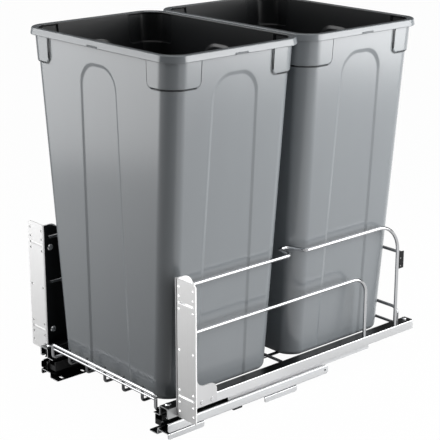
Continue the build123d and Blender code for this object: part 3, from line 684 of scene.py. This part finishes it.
def is_inside(face, centre_y):
    """True if a face of a bin belongs to the dark inside."""
    middle = face.center
    if middle.z > bin_top - rim_band or middle.z < bin_base + wall / 2:
        return False
    offset = Vector((middle.x - bin_x, middle.y - centre_y))
    limit = half_size(middle.z, pad_raise - pad_middle)
    if abs(offset.x) > limit.x or abs(offset.y) > limit.y:
        return False
    axis = 0 if abs(offset.x) / limit.x > abs(offset.y) / limit.y else 1
    outward = face.normal[axis] * math.copysign(1, offset[axis])
    core = half_size(middle.z, -wall_middle)
    deep = abs(offset.x) < core.x and abs(offset.y) < core.y
    return outward < -slightly or (deep and outward < slightly and face.normal.z > -slightly)


for piece, node_name in ((body, "front_bin"), (rear_body, "rear_bin")):
    dress(piece, grey_polypropylene, painted_shade_polypropylene)
    low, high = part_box(node_name)
    centre_y = (low.y + high.y) / 2
    for face in piece.data.polygons:
        # The inside faces get the near-black plastic as painted shade.
        face.material_index = 1 if is_inside(face, centre_y) else 0
    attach(piece, node_name)
    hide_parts(node_name)
    print(piece.name, "dark faces:", sum(face.material_index for face in piece.data.polygons))

# %% [markdown]
# ## The studio: a white sweep
#
# The unit stands on a white floor, which the camera sees white all over. What the gloss of the bins and the
# steel mirrors is set apart, like the white and black boards round a product: the floor is dark in front of
# the unit, so the front corners turn dark, grows lighter to the left over a metre and more, so the front face
# fades downwards, and is light on the right. Beside and behind the unit, close to its footprint, it is
# darkened as a painted shadow that only mirrors show. The table gives that light by the angle round the
# unit, in degrees from +X, with -90 in front.

# %% What the unit mirrors of the floor
footprint_half = (0.17, 0.28, 0.0)
front_edge_slope = -0.5
# Painted shadow round the footprint in the mirrored floor: its reach and its levels.
painted_shadow_reach = 110 * MM
painted_shadow_levels = (0.12, 2.0)
round_the_unit = {-180: 0.06, -150: 0.06, -60: 1.1, -5: 1.1, 12: 0.42, 58: 0.40,
                  76: 0.85, 108: 0.85, 130: 0.15, 180: 0.06}
to_the_left = (-0.90, -0.43, 0.0)
left_fade = (0.1, 1.4)
left_levels = (0.15, 1.3)


def level_by_angle(tree, place):
    """The table's light at a spot, by its angle round the unit."""
    angle = add(tree, "ShaderNodeTexGradient", {"Vector": place}, gradient_type="RADIAL")
    level = add(tree, "ShaderNodeValToRGB", {"Fac": angle.outputs["Fac"]})
    stops = level.color_ramp.elements
    while len(stops) > 1:
        stops.remove(stops[0])
    stops[0].position = 1.0
    for degrees, value in round_the_unit.items():
        stop = stops[-1] if degrees == 180 else stops.new((degrees + 180) / 360)
        stop.color = (value, value, value, 1)
    return level.outputs["Color"]


def mirrored_floor(tree):
    """How bright the floor is in a mirror: by the table beside the unit, by a fade in front of it."""
    place = add(tree, "ShaderNodeTexCoord").outputs["Object"]
    spot = add(tree, "ShaderNodeSeparateXYZ", {"Vector": place})
    size = add(tree, "ShaderNodeVectorMath", {0: place}, operation="ABSOLUTE")
    outwards = add(tree, "ShaderNodeVectorMath",
                   {0: size.outputs["Vector"], 1: footprint_half}, operation="SUBTRACT")
    away = add(tree, "ShaderNodeSeparateXYZ", {"Vector": outwards.outputs["Vector"]})
    distance = add(tree, "ShaderNodeMath", {0: away.outputs["X"], 1: away.outputs["Y"]}, operation="MAXIMUM")
    # Painted shadow: the mirrored floor darkens close round the footprint.
    border = add(tree, "ShaderNodeMapRange",
                 {"Value": distance.outputs["Value"], "From Min": 0.0, "From Max": painted_shadow_reach,
                  "To Min": painted_shadow_levels[0], "To Max": painted_shadow_levels[1]}, interpolation_type="SMOOTHSTEP")
    beside = add(tree, "ShaderNodeMath",
                 {0: border.outputs["Result"], 1: level_by_angle(tree, place)}, operation="MULTIPLY")
    leftward = add(tree, "ShaderNodeVectorMath", {0: place, 1: to_the_left}, operation="DOT_PRODUCT")
    ahead = add(tree, "ShaderNodeMapRange",
                {"Value": leftward.outputs["Value"], "From Min": left_fade[0], "From Max": left_fade[1],
                 "To Min": left_levels[0], "To Max": left_levels[1]})
    front_edge = add(tree, "ShaderNodeMath",
                     {0: away.outputs["X"], 1: front_edge_slope, 2: -footprint_half[1]},
                     operation="MULTIPLY_ADD")
    in_front = add(tree, "ShaderNodeMath",
                   {0: spot.outputs["Y"], 1: front_edge.outputs["Value"]}, operation="LESS_THAN")
    level = add(tree, "ShaderNodeMix",
                {"Factor": in_front.outputs["Value"], "A": beside.outputs["Value"],
                 "B": ahead.outputs["Result"]}, data_type="FLOAT")
    return level.outputs["Result"]


# %% [markdown]
# ## The studio: the floor
#
# To the camera the floor glows almost fully white, and only a trace of the shadows stays. To the light it
# is a middle grey, which gives the unit's underside some light back.

# %% Lay the floor
floor_half = 14.0
floor_depth = 1 * MM
camera_white = 0.98
floor_seen = "f4f4f4"
floor_lit = "8c8c8c"


def sweep_finish():
    """White floor that keeps a trace of the shadows, with its own light in mirrors."""
    material, tree, output = finish_named("white_sweep")
    path = add(tree, "ShaderNodeLightPath")
    mirrored = add(tree, "ShaderNodeMath",
                   {0: path.outputs["Is Glossy Ray"], 1: mirrored_floor(tree)}, operation="MULTIPLY")
    glow = add(tree, "ShaderNodeMath",
               {0: path.outputs["Is Camera Ray"], 1: camera_white, 2: mirrored.outputs["Value"]},
               operation="MULTIPLY_ADD")
    tone = add(tree, "ShaderNodeMix",
               {"Factor": path.outputs["Is Camera Ray"], "A": linear(floor_lit), "B": linear(floor_seen)},
               data_type="RGBA")
    matt = add(tree, "ShaderNodeBsdfDiffuse", {"Color": tone.outputs["Result"]})
    white = add(tree, "ShaderNodeEmission", {"Color": WHITE, "Strength": 1.0})
    mix = add(tree, "ShaderNodeMixShader",
              {0: glow.outputs["Value"], 1: matt.outputs["BSDF"], 2: white.outputs["Emission"]})
    tree.links.new(mix.outputs["Shader"], output.inputs["Surface"])
    return material


floor = block("floor", (-floor_half, -floor_half, -floor_depth), (floor_half, floor_half, 0))
dress(floor, sweep_finish())
print("floor laid:", 2 * floor_half, "m square")

# %% [markdown]
# ## The studio: the sky
#
# The room is white to the camera. It gives a low even light, and mirrors show it dark at the horizon and
# white overhead.

# %% Make the sky
even_light = 0.10
horizon_band = (0.30, 0.80)
horizon_levels = (0.04, 1.0)


def sky():
    """White where it is seen, dark to white upwards where it is mirrored, and a low even level elsewhere."""
    world = bpy.data.worlds.new("sky")
    bpy.context.scene.world = world
    world.use_nodes = True
    tree = world.node_tree
    tree.nodes.clear()
    output = add(tree, "ShaderNodeOutputWorld")
    path = add(tree, "ShaderNodeLightPath")
    even = add(tree, "ShaderNodeBackground", {"Color": WHITE, "Strength": even_light})
    place = add(tree, "ShaderNodeTexCoord")
    parts = add(tree, "ShaderNodeSeparateXYZ", {"Vector": place.outputs["Generated"]})
    band = add(tree, "ShaderNodeMapRange",
               {"Value": parts.outputs["Z"], "From Min": horizon_band[0], "From Max": horizon_band[1],
                "To Min": horizon_levels[0], "To Max": horizon_levels[1]}, interpolation_type="SMOOTHSTEP")
    mirrored = add(tree, "ShaderNodeBackground", {"Color": WHITE, "Strength": band.outputs["Result"]})
    white = add(tree, "ShaderNodeBackground", {"Color": WHITE, "Strength": 1.0})
    glossy = add(tree, "ShaderNodeMixShader",
                 {0: path.outputs["Is Glossy Ray"], 1: even.outputs["Background"],
                  2: mirrored.outputs["Background"]})
    seen = add(tree, "ShaderNodeMixShader",
               {0: path.outputs["Is Camera Ray"], 1: glossy.outputs["Shader"],
                2: white.outputs["Background"]})
    tree.links.new(seen.outputs["Shader"], output.inputs["Surface"])


sky()
print("sky:", bpy.context.scene.world.name)

# %% [markdown]
# ## The studio: the lamps
#
# The light stays plain: a soft lamp on each side and one above. The left lamp is brighter at its head than
# at its foot, so that the front face is lightest under the rim.

# %% Hang the lamps
def soft_lamp(name, place, aim, width, height, power, foot=1.0, head=1.0):
    """A soft lamp at a place, aimed at a point, with the strength at its foot and at its head."""
    light = bpy.data.lights.new(name, "AREA")
    light.shape = "RECTANGLE"
    light.size = width
    light.size_y = height
    light.energy = power
    light.use_nodes = True
    tree = light.node_tree
    tree.nodes.clear()
    place_on = add(tree, "ShaderNodeNewGeometry")
    parts = add(tree, "ShaderNodeSeparateXYZ", {"Vector": place_on.outputs["Parametric"]})
    fade = add(tree, "ShaderNodeMapRange", {"Value": parts.outputs["Y"], "To Min": foot, "To Max": head})
    glow = add(tree, "ShaderNodeEmission", {"Strength": fade.outputs["Result"]})
    add(tree, "ShaderNodeOutputLight", {"Surface": glow.outputs["Emission"]})
    lamp = bpy.data.objects.new(name, light)
    bpy.context.scene.collection.objects.link(lamp)
    lamp.location = place
    lamp.rotation_euler = (Vector(place) - Vector(aim)).to_track_quat("Z", "Y").to_euler()


unit_middle = (0, 0, 0.3)
front_left = (-0.05, -0.15, 0.3)
soft_lamp("right_lamp", (1.38, 0.82, 0.70), unit_middle, width=1.8, height=1.35, power=44)
soft_lamp("left_lamp", (-0.72, -0.95, 0.62), front_left, width=1.1, height=1.2, power=11.8, foot=0.5,
          head=1.8)
soft_lamp("top_lamp", (0.0, 0.0, 2.6), unit_middle, width=1.2, height=1.2, power=2.5)
bpy.context.scene.view_settings.view_transform = "Standard"
print("lamps:", [item.name for item in bpy.data.lights])
